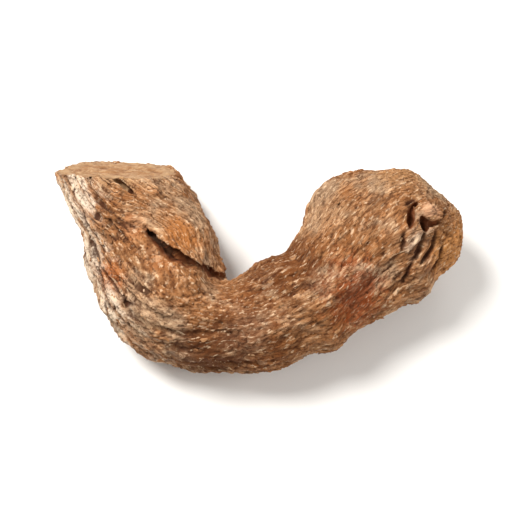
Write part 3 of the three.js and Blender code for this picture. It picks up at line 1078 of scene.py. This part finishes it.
def bark_tree():
    """Pushes each point in or out by fibres, fissures, scales and grit, and stores what it did."""
    tree, add, given, result = new_tree("bark_relief", RELIEF_INPUTS)
    reads = {"place": add("GeometryNodeInputPosition")}
    for name in ("grain", "outward"):
        reads[name] = add(ATTRIBUTE, {"Name": name}, **VECTORS)
    grain_at, place = reads["grain"], reads["place"]
    depth_at = add(ATTRIBUTE, {"Name": "depth"}, data_type="FLOAT")
    x_at, _, z_at = add(PARTS, {0: place}).outputs
    near, far = PEELING_SIDE
    least, most = PEELING_SHARE
    peeling = add(RANGE, {0: x_at, 1: near, 2: far, 3: least, 4: most}, **SOFT)
    waves = {}
    for name, (read, size, detail, roughness) in WAVES.items():
        sized = add(VECTOR, {0: reads[read], 1: [1 / x for x in size]}, **TIMES)
        noise = {"Vector": sized, "Scale": 1.0, "Detail": detail, "Roughness": roughness}
        waves[name] = add(MATH, {0: add(NOISE, noise).outputs[0], 1: 2.0, 2: -1.0}, **TIMES_PLUS)

    ridge = waves["fibre"]
    fibre = add(MATH, {0: ridge, 1: given["Fibre Height"]}, **TIMES)
    fibre = add(MATH, {0: fibre, 1: peeling}, **TIMES)
    off_line = add(MATH, {0: waves["fissure"]}, operation="ABSOLUTE")
    fissure = add(RANGE, {0: off_line, 1: 0.0, 2: FISSURE_WIDTH, 3: 1.0, 4: 0.0}, **SOFT)
    sunk = add(MATH, {0: fissure, 1: given["Fissure Depth"]}, **TIMES)
    sunk = add(MATH, {0: sunk, 1: peeling}, **TIMES)
    at_most_one = add(MATH, {0: peeling, 1: 1.0}, operation="MINIMUM")
    fissure = add(MATH, {0: fissure, 1: at_most_one}, **TIMES)

    lines = add("GeometryNodeObjectInfo", {"Object": given["Splits"]}).outputs["Geometry"]
    to_split = add(GAP, {"Target": lines, "Source Position": place}, target_element="EDGES")
    near, far = SPLIT_REACH
    split = add(RANGE, {0: to_split.outputs["Distance"], 1: near, 2: far, 3: 1.0, 4: 0.0}, **SOFT)
    sunk = add(MATH, {0: split, 1: given["Split Depth"], 2: sunk}, **TIMES_PLUS)
    fissure = add(MATH, {0: fissure, 1: split}, operation="MAXIMUM")

    in_scales = add(VECTOR, {0: grain_at, 1: [1 / x for x in SCALE_SIZE]}, **TIMES)
    warp = add(NOISE, {"Vector": in_scales, "Scale": 0.8, "Detail": 2.0})
    warp = add(VECTOR, {0: warp.outputs["Color"], "Scale": SCALE_WARP}, **SCALED)
    cells_at = add(VECTOR, {0: in_scales, 1: warp}, operation="ADD")
    cell = add(CELLS, {"Vector": cells_at, "Scale": 1.0})
    edge = add(CELLS, {"Vector": cells_at, "Scale": 1.0}, feature="DISTANCE_TO_EDGE")
    off_middle = add(VECTOR, {0: cells_at, 1: cell.outputs["Position"]}, **LESS)
    along = add(PARTS, {0: off_middle}).outputs[0]
    tone = add(PARTS, {0: cell.outputs["Color"]}).outputs[0]
    tilt = add(MATH, {0: along, 1: given["Scale Tilt"]}, **TIMES)
    offset = add(MATH, {0: tone, 1: 0.5}, **LESS)
    offset = add(MATH, {0: offset, 1: given["Scale Step"]}, **TIMES)
    crack = add(RANGE, {0: edge.outputs[0], 1: 0.0, 2: CRACK_WIDTH, 3: 1.0, 4: 0.0}, **SOFT)
    cracked = add(MATH, {0: crack, 1: given["Crack Depth"]}, **TIMES)
    scales = add(MATH, {0: add(MATH, {0: tilt, 1: offset}), 1: cracked}, **LESS)
    scales = add(MATH, {0: scales, 1: sunk}, **LESS)
    grit = add(MATH, {0: waves["grit"], 1: given["Grit Height"]}, **TIMES)

    on_circle = add(VECTOR, {0: grain_at, 1: ACROSS_ROOT}, **TIMES)
    ring = add(VECTOR, {0: on_circle}, operation="LENGTH")
    from_chop = add(PARTS, {0: grain_at}).outputs[0]
    frayed = add(NOISE, {"Vector": place, "Scale": 1 / FRAY_SIZE, "Detail": 3.0})
    frayed = add(MATH, {0: frayed.outputs[0], 1: 0.5}, **LESS)
    ring = add(MATH, {0: frayed, 1: FRAY_REACH, 2: ring}, **TIMES_PLUS)
    beyond = add(MATH, {0: from_chop, 1: BARK_PER_MM}, **TIMES)
    ring = add(MATH, {0: ring, 1: beyond}, operation="MAXIMUM")
    low, high = CHOP_RING
    is_bark = add(RANGE, {0: ring, 1: low, 2: high, 3: 0.0, 4: 1.0}, **SOFT)
    low, high = BARK_DEPTH
    is_skin = add(RANGE, {0: depth_at, 1: low, 2: high, 3: 1.0, 4: 0.0}, **SOFT)
    is_torn = add(MATH, {0: 1.0, 1: is_skin}, **LESS)
    low, high = WORN_FINE
    unworn = add(RANGE, {0: z_at, 1: low, 2: high, 3: 0.0, 4: 1.0}, **SOFT)

    toward = add(VECTOR, {0: on_circle}, operation="NORMALIZE")
    ray = add(NOISE, {"Vector": toward, "Scale": RAY_FINENESS, "Detail": 3.0})
    ray = add(MATH, {0: ray.outputs[0], 1: 0.5}, **LESS)
    ray = add(MATH, {0: ray}, operation="ABSOLUTE")
    ray = add(RANGE, {0: ray, 1: 0.0, 2: RAY_WIDTH, 3: RAY_DEPTH, 4: 0.0}, **SOFT)
    low, high = RAY_START
    off_pith = add(RANGE, {0: ring, 1: low, 2: high, 3: 0.0, 4: 1.0})
    ray = add(MATH, {0: ray, 1: off_pith}, **TIMES)
    groove = add(MATH, {0: ring, 1: CAMBIUM_AT}, **LESS)
    groove = add(MATH, {0: groove}, operation="ABSOLUTE")
    groove = add(RANGE, {0: groove, 1: 0.0, 2: CAMBIUM_WIDTH, 3: CAMBIUM_DEPTH, 4: 0.0})
    hacked = add(MATH, {0: waves["hack"], 1: given["Hack Depth"]}, **TIMES)
    face = add(MATH, {0: hacked, 1: add(MATH, {0: ray, 1: groove})}, **LESS)

    tear = add(MATH, {0: waves["tear"], 1: given["Tear Depth"]}, **TIMES)
    on_skin = add(MATH, {0: add(MATH, {0: scales, 1: grit}), 1: fibre})
    on_skin = add(MATH, {0: on_skin, 1: is_skin}, **TIMES)
    on_bark = add(MATH, {0: tear, 1: is_torn, 2: on_skin}, **TIMES_PLUS)
    total = add(MIX, {"Factor": is_bark, "A": face, "B": on_bark}, data_type="FLOAT")
    total = add(MATH, {0: total, 1: unworn}, **TIMES)

    geometry = given["Geometry"]
    stored = {"relief": total, "tone": tone, "crack": crack, "fissure": fissure, "ridge": ridge}
    for name, value in stored.items():
        geometry = add(STORE, {"Geometry": geometry, "Name": name, "Value": value})
    ways = {0: is_torn, 4: reads["outward"], 5: add("GeometryNodeInputNormal")}
    way = add(MIX, ways, data_type="VECTOR").outputs[1]
    push = add(VECTOR, {0: way, "Scale": total}, **SCALED)
    moved = add("GeometryNodeSetPosition", {"Geometry": geometry, "Offset": push})
    limit = {0: add("GeometryNodeInputPosition"), 1: LOWEST}
    above_table = add(VECTOR, limit, operation="MAXIMUM")
    moved = add("GeometryNodeSetPosition", {"Geometry": moved, "Position": above_table})
    soft = add("GeometryNodeSetShadeSmooth", {"Geometry": moved})
    real = add("GeometryNodeRealizeInstances", {"Geometry": soft})
    barked = add(FINISH, {"Geometry": real, "Material": given["Bark"]})
    is_wood = add(COMPARE, {0: ring, 1: sum(CHOP_RING) / 2}, operation="LESS_THAN")
    finish = {"Geometry": barked, "Selection": is_wood, "Material": given["Wood"]}
    tree.links.new(add(FINISH, finish).outputs[0], result["Geometry"])
    return tree


root.data.materials.clear()
run_tree(root, bark_tree(), {"Splits": splits})
reliefs = read_values(root.data, "relief")
print("bark relief in mm:", round(float(reliefs.min()), 2), "to", round(float(reliefs.max()), 2))
print("materials on the root:", [made.name for made in root.data.materials])

# %% [markdown]
# ## Loose flakes and torn fibres
#
# Both lie along the grain and stray from it a little, and one end of each stands up. They
# are scattered by one tree, which takes a small shape, a place, a reach and a density. A particle
# system could scatter them, but it isn't exported, and the tree's result is a plain mesh. The seed
# of each patch is fixed.

# %% Two small shapes to scatter
FLAKE_SIDES = 9
FLAKE_HALF = (0.5, 0.27)  # half its length and half its width
FLAKE_CURL = (0.5, -0.9)  # along and across
FLAKE_WAVES = [(3, 0.16, 0.6), (5, 0.08, 0.0)]  # waves round its edge, height, phase
FLAKE_THICKNESS = 0.13
SLIVER_RINGS = 6
SLIVER_SIDES = 3
SLIVER_THICKNESS = (0.12, 0.07)
SLIVER_SWAY = 0.03
SLIVER_CURL = 0.03


def flake_shape():
    """A thin curled leaf of cork, 1 long, lying along x."""
    turn = np.linspace(0, 2 * math.pi, FLAKE_SIDES, endpoint=False)
    reach = 1 + sum(size * np.sin(waves * turn + phase) for waves, size, phase in FLAKE_WAVES)
    x, y = FLAKE_HALF[0] * reach * np.cos(turn), FLAKE_HALF[1] * reach * np.sin(turn)
    curl = FLAKE_CURL[0] * x**2 + FLAKE_CURL[1] * y**2
    top = np.stack([x, y, curl + FLAKE_THICKNESS / 2], 1)
    below = np.stack([x, y, curl - FLAKE_THICKNESS / 2], 1)
    crown = [[0, 0, FLAKE_THICKNESS * 0.75], [0, 0, -FLAKE_THICKNESS * 0.5]]
    n = FLAKE_SIDES
    beside = [(i + 1) % n for i in range(n)]
    faces = [[i, beside[i], 2 * n] for i in range(n)]
    faces += [[n + beside[i], n + i, 2 * n + 1] for i in range(n)]
    faces += [[i, n + i, n + beside[i], beside[i]] for i in range(n)]
    return new_object("flake", np.vstack([top, below, crown]), faces)


def sliver_shape():
    """A three-sided fibre, 1 long from the origin along x, thin at both ends and lifting away."""
    w = np.linspace(0, 1, SLIVER_RINGS + 2)[1:-1, None]
    turn = np.linspace(0, 2 * math.pi, SLIVER_SIDES, endpoint=False)[None, :]
    thick = 0.5 * np.sin(math.pi * w**0.8)
    x = np.repeat(w, SLIVER_SIDES, 1)
    y = thick * np.cos(turn) * SLIVER_THICKNESS[0] + SLIVER_SWAY * np.sin(5 * w)
    z = thick * np.sin(turn) * SLIVER_THICKNESS[1] + SLIVER_CURL * w**2
    rings = np.stack([x, y, z], 2).reshape(-1, 3)
    first = len(rings)
    faces = []
    for j in range(SLIVER_SIDES):
        beside = (j + 1) % SLIVER_SIDES
        for ring in range(0, first - SLIVER_SIDES, SLIVER_SIDES):
            a, b = ring + j, ring + beside
            faces.append([a, b, b + SLIVER_SIDES, a + SLIVER_SIDES])
        faces.append([first, beside, j])
        faces.append([first + 1, first - SLIVER_SIDES + j, first - SLIVER_SIDES + beside])
    ends = [[0, 0, 0], [1, SLIVER_SWAY * math.sin(5), SLIVER_CURL]]
    return new_object("sliver", np.vstack([rings, ends]), faces)


flake = flake_shape()
sliver = sliver_shape()
print("faces of a flake and a fibre:", len(flake.data.polygons), len(sliver.data.polygons))

# %% The tree that scatters them
DRAW = "FunctionNodeRandomValue"
LIFT_SEED, SIZE_SEED, TONE_SEED = 11, 23, 37
FLAKES_ABOVE = 0.9  # mm: nothing is loose where the root lies on the table
FULL_WITHIN = 0.5  # share of a patch's reach that has its full density
SCATTER_INPUTS = {
    "Root": ("Object", None),
    "Shape": ("Object", None),
    "Centre": ("Vector", (0.0, 0.0, 0.0)),
    "Reach": ("Float", 100.0),
    "Density": ("Float", 0.1),
    "Smallest": ("Float", 0.8),
    "Largest": ("Float", 1.6),
    "Lift": ("Float", 0.15),
    "Stray": ("Float", 0.3),
    "Sink": ("Float", 0.05),
    "Palest": ("Float", 1.0),
    "Seed": ("Int", 0),
    "Finish": ("Material", None),
}


def scatter_tree():
    """Scatters a shape over a round patch of the root, along its grain."""
    tree, add, given, result = new_tree("scattered_pieces", SCATTER_INPUTS)
    mesh = add("GeometryNodeObjectInfo", {"Object": given["Root"]}).outputs["Geometry"]
    shape = add("GeometryNodeObjectInfo", {"Object": given["Shape"]}).outputs["Geometry"]
    grain_at = add(ATTRIBUTE, {"Name": "grain"}, **VECTORS)
    grain_way_at = add(ATTRIBUTE, {"Name": "grain_way"}, **VECTORS)
    depth_at = add(ATTRIBUTE, {"Name": "depth"}, data_type="FLOAT")
    place = add("GeometryNodeInputPosition")
    away = add(VECTOR, {0: place, 1: given["Centre"]}, operation="DISTANCE")
    inside = add(MATH, {0: away, 1: given["Reach"]}, operation="DIVIDE")
    fade = add(RANGE, {0: inside, 1: FULL_WITHIN, 2: 1.0, 3: given["Density"], 4: 0.0})
    on_circle = add(VECTOR, {0: grain_at, 1: ACROSS_ROOT}, **TIMES)
    ring = add(VECTOR, {0: on_circle}, operation="LENGTH")
    from_chop = add(PARTS, {0: grain_at}).outputs[0]
    ring = add(MATH, {0: ring, 1: from_chop}, operation="MAXIMUM")
    is_bark = add(COMPARE, {0: ring, 1: CHOP_RING[1]}, operation="GREATER_THAN")
    is_skin = add(COMPARE, {0: depth_at, 1: BARK_DEPTH[0]}, operation="LESS_THAN")
    height = add(PARTS, {0: place}).outputs[2]
    is_high = add(COMPARE, {0: height, 1: FLAKES_ABOVE}, operation="GREATER_THAN")
    chosen = add("FunctionNodeBooleanMath", {0: is_bark, 1: is_skin})
    chosen = add("FunctionNodeBooleanMath", {0: chosen, 1: is_high})
    where = {"Mesh": mesh, "Selection": chosen, "Density": fade, "Seed": given["Seed"]}
    points = add("GeometryNodeDistributePointsOnFaces", where)
    normal = points.outputs["Normal"]
    upright = add(
        "FunctionNodeAxesToRotation",
        {"Primary Axis": normal, "Secondary Axis": grain_way_at},
        primary_axis="Z",
        secondary_axis="X",
    )
    stray = add(MATH, {0: given["Stray"], 1: -1.0}, **TIMES)
    yaw = add(DRAW, {2: stray, 3: given["Stray"], "Seed": given["Seed"]})
    lift = add(DRAW, {2: 0.0, 3: given["Lift"], "Seed": LIFT_SEED})
    lift = add(MATH, {0: lift, 1: -1.0}, **TIMES)
    turn = add("ShaderNodeCombineXYZ", {1: lift, 2: yaw})
    by = {"Rotation": upright, "Rotate By": add("FunctionNodeEulerToRotation", {0: turn})}
    turned = add("FunctionNodeRotateRotation", by, rotation_space="LOCAL")
    size = add(DRAW, {2: given["Smallest"], 3: given["Largest"], "Seed": SIZE_SEED})
    tone = add(DRAW, {2: 0.0, 3: given["Palest"], "Seed": TONE_SEED})
    toned = add(STORE, {"Geometry": points, "Name": "tone", "Value": tone})
    sunk = add(MATH, {0: given["Sink"], 1: -1.0}, **TIMES)
    sunk = add(VECTOR, {0: normal, "Scale": sunk}, **SCALED)
    lowered = add("GeometryNodeSetPosition", {"Geometry": toned, "Offset": sunk})
    copies = {"Points": lowered, "Instance": shape, "Rotation": turned, "Scale": size}
    pieces = add("GeometryNodeInstanceOnPoints", copies)
    real = add("GeometryNodeRealizeInstances", {"Geometry": pieces})
    done = add(FINISH, {"Geometry": real, "Material": given["Finish"]})
    tree.links.new(done.outputs[0], result["Geometry"])
    return tree


# %% Where flakes and fibres are
PATCH_COLUMNS = ("Reach", "Density", "Smallest", "Largest", "Lift", "Stray", "Sink", "Palest")
FLAKE_PATCHES = [
    # centre, and then the columns above; density is for each square mm
    ((0, 0, 9), 200, 0.05, 0.6, 1.3, 0.1, 0.3, 0.06, 0.8),
    ((4, -4, 15), 11, 0.1, 0.6, 1.2, 0.14, 0.6, 0.05, 0.7),
    ((-24, -6, 15), 9, 0.08, 0.6, 1.3, 0.1, 0.3, 0.06, 1.0),
]
FIBRE_PATCHES = [
    ((28.0, -1.0, 18.5), 4, 0.1, 1.4, 2.4, 0.03, 0.15, 0.1, 0.7),
    ((24.0, -2.0, 18.5), 6, 0.08, 1.4, 2.6, 0.04, 0.2, 0.1, 0.6),
    ((-29.0, 6.0, 16.0), 8, 0.12, 1.4, 3.0, 0.02, 0.12, 0.1, 1.0),
    ((-22.0, -10.0, 15.0), 7, 0.1, 1.4, 3.0, 0.02, 0.12, 0.1, 1.0),
    ((-10.0, -2.5, 14.5), 5, 0.2, 0.9, 1.8, 0.1, 0.4, 0.06, 0.7),
]
scattering = scatter_tree()


def scattered(name, shape, patches, finish):
    """One mesh of all the patches of a shape."""
    made = []
    for seed, (centre, *rest) in enumerate(patches):
        patch = new_object(f"{name}_{seed}", [[0, 0, 0]], [])
        values = {"Root": root, "Shape": shape, "Seed": seed, "Finish": finish}
        values["Centre"] = [float(x) for x in centre]
        values.update(zip(PATCH_COLUMNS, (float(x) for x in rest)))
        made.append(run_tree(patch, scattering, values))
    bpy.ops.object.select_all(action="DESELECT")
    for patch in made:
        patch.select_set(True)
    bpy.context.view_layer.objects.active = made[0]
    bpy.ops.object.join()
    made[0].name = name
    print(name, "faces:", len(made[0].data.polygons))
    return made[0]


loose_bark = scattered("loose_bark", flake, FLAKE_PATCHES, loose_bark_finish)
torn_fibres = scattered("torn_fibres", sliver, FIBRE_PATCHES, fibre_finish)

# %% [markdown]
# ## Into the frame
#
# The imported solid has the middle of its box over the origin, and everything in Blender is in metres.
# So each piece is moved by the same shift and scaled once, in its mesh. The helpers are deleted. A
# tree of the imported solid's faces then tells how far the fine root is from it.

# %% Moving and scaling
pieces = [root, loose_bark, torn_fibres]
for piece in pieces:
    piece.data.transform(Matrix.Diagonal([MM, MM, MM, 1]) @ Matrix.Translation(-CENTRE))
    piece.data.update()
helpers = [skin_object, splits, table_block, flake, sliver] + blades + hollows + bumps
for helper in helpers:
    bpy.data.objects.remove(helper)

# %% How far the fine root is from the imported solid
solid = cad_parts[ROOT_NODE]
solid = bpy.data.objects[solid] if isinstance(solid, str) else solid
solid_faces = BVHTree.FromPolygons(
    [solid.matrix_world @ v.co for v in solid.data.vertices],
    [list(face.vertices) for face in solid.data.polygons],
)
gaps = [solid_faces.find_nearest(v.co)[3] / MM for v in list(root.data.vertices)[::20]]
print("from the packed solid in mm: mean", round(sum(gaps) / len(gaps), 2), "most", round(max(gaps), 2))

# %% [markdown]
# ## The studio
#
# The picture is a catalogue shot: a pale sweep and one broad soft lamp high on the left. The shadows
# are filled by weaker lamps on the right and behind, and by a white room. The lamps are large for
# such a small root, and that is what keeps its shadows soft.

# %% Floor, lamps and room
FLOOR_SIDE = 3000.0
FLOOR_COLOUR = "#efece7"
LAMPS = [
    # name, direction from the root, distance and size in mm, watts
    ("key_lamp", (-0.55, 0.3, 1.0), 420, 200, 2.5),
    ("fill_lamp", (0.9, -0.3, 0.8), 500, 320, 1.1),
    ("back_lamp", (0.3, 1.0, 0.7), 480, 240, 0.3),
]
ROOM_LIGHT = 0.4

bpy.ops.mesh.primitive_grid_add(x_subdivisions=8, y_subdivisions=8, size=FLOOR_SIDE * MM)
floor = bpy.context.object
floor.name = "studio_floor"
paper = new_material("matt_studio_paper", {"Roughness": 0.9, "Base Color": FLOOR_COLOUR})[0]
floor.data.materials.append(paper)

for name, direction, distance, size, watts in LAMPS:
    lamp = bpy.data.objects.new(name, bpy.data.lights.new(name, "AREA"))
    bpy.context.scene.collection.objects.link(lamp)
    lamp.data.shape = "DISK"
    lamp.data.size = size * MM
    lamp.data.energy = watts
    away = Vector(direction).normalized()
    lamp.location = LOOK_AT + away * distance * MM
    lamp.rotation_mode = "QUATERNION"
    lamp.rotation_quaternion = away.to_track_quat("Z", "Y")

room = bpy.data.worlds.new("white_room")
bpy.context.scene.world = room
room.use_nodes = True
room.node_tree.nodes["Background"].inputs["Color"].default_value = linear("#ffffff")
room.node_tree.nodes["Background"].inputs["Strength"].default_value = ROOM_LIGHT
bpy.context.scene.view_settings.view_transform = "Standard"
print("lamps:", len(LAMPS))

# %% [markdown]
# ## Riding on one body
#
# The whole root is one body. The fine root stands for the imported solid, which stays in the scene
# but is hidden, and the loose pieces ride on it.

# %% Riding on the body, with the imported solid hidden
for piece in pieces:
    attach(piece, "root")
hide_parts(ROOT_NODE)
